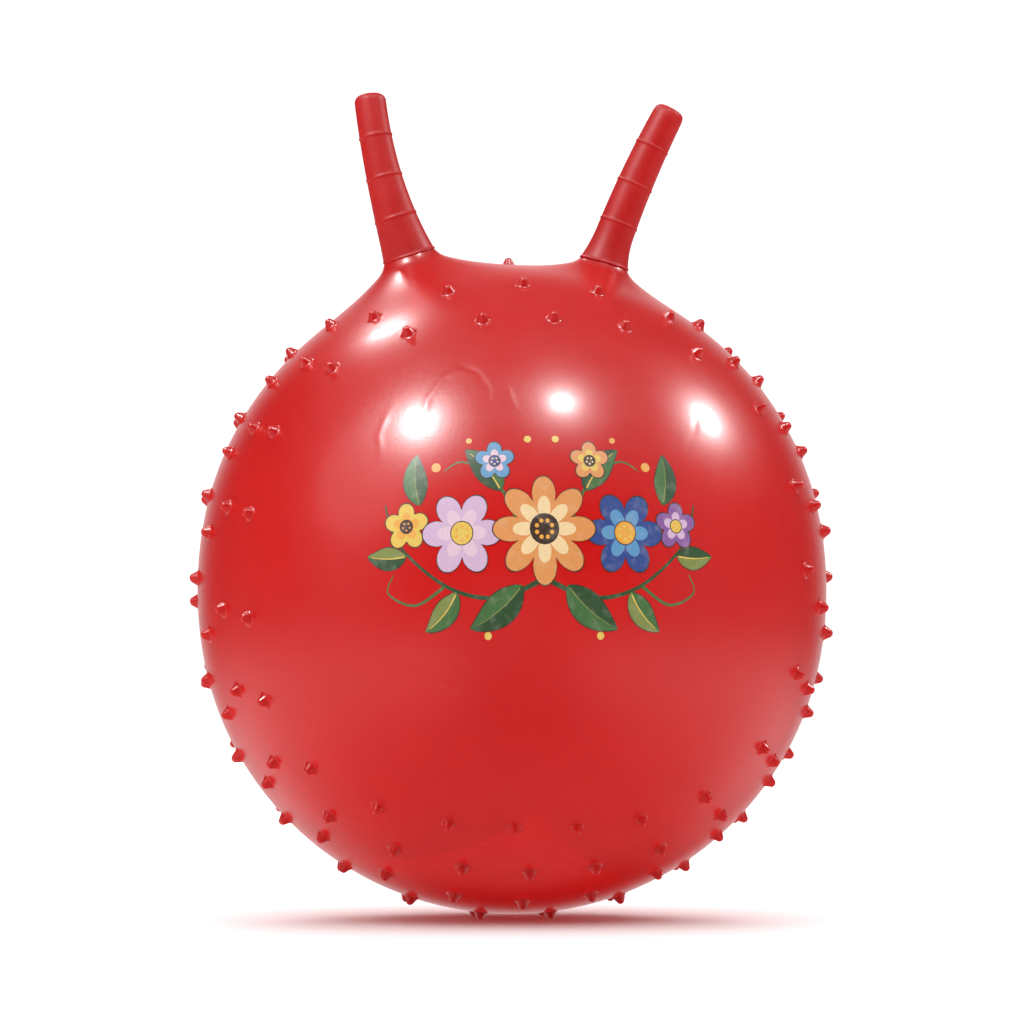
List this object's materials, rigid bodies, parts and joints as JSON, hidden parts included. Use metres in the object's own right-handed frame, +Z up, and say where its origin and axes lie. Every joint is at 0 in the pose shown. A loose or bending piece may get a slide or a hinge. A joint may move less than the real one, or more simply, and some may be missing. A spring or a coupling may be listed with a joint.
{
  "type": "hopper ball",
  "caption": "Inflated PVC ride-on ball with moulded grip studs, two flexing horn handles and a push-in air valve.",
  "frame": {"origin": "on the floor, under the middle of the ball", "axes": "+Z up, -Y towards the front picture field, +X to the right horn seen from the front"},
  "size_m": [0.4628, 0.45, 0.591],
  "materials": {
    "skin": "satin-gloss blown-up PVC",
    "horn": "finely grained soft PVC",
    "valve": "soft white PVC"
  },
  "bodies": {
    "ball": {"ball_shell": "skin", "left_horn_root": "skin", "right_horn_root": "skin", "valve_seat": "valve"},
    "left_horn": {"left_horn": "horn"},
    "right_horn": {"right_horn": "horn"},
    "valve_plug": {"valve_plug": "valve"}
  },
  "joints": [
    {"name": "left_horn_flex", "type": "hinge", "parent": "ball", "child": "left_horn", "pos_m": [-0.0704, 0.0078, 0.46499], "axis": [0, 1, 0], "range_deg": [-25, 25], "stiffness_Nm_per_rad": 1.5, "deforming": ["left_horn_root"]},
    {"name": "right_horn_flex", "type": "hinge", "parent": "ball", "child": "right_horn", "pos_m": [0.06571, 0.00775, 0.46355], "axis": [0, 1, 0], "range_deg": [-25, 25], "stiffness_Nm_per_rad": 1.5, "deforming": ["right_horn_root"]},
    {"name": "valve_plug_pull", "type": "slide", "parent": "ball", "child": "valve_plug", "axis": [0, 0.9135, 0.4067], "range_m": [0, 0.016]}
  ]
}
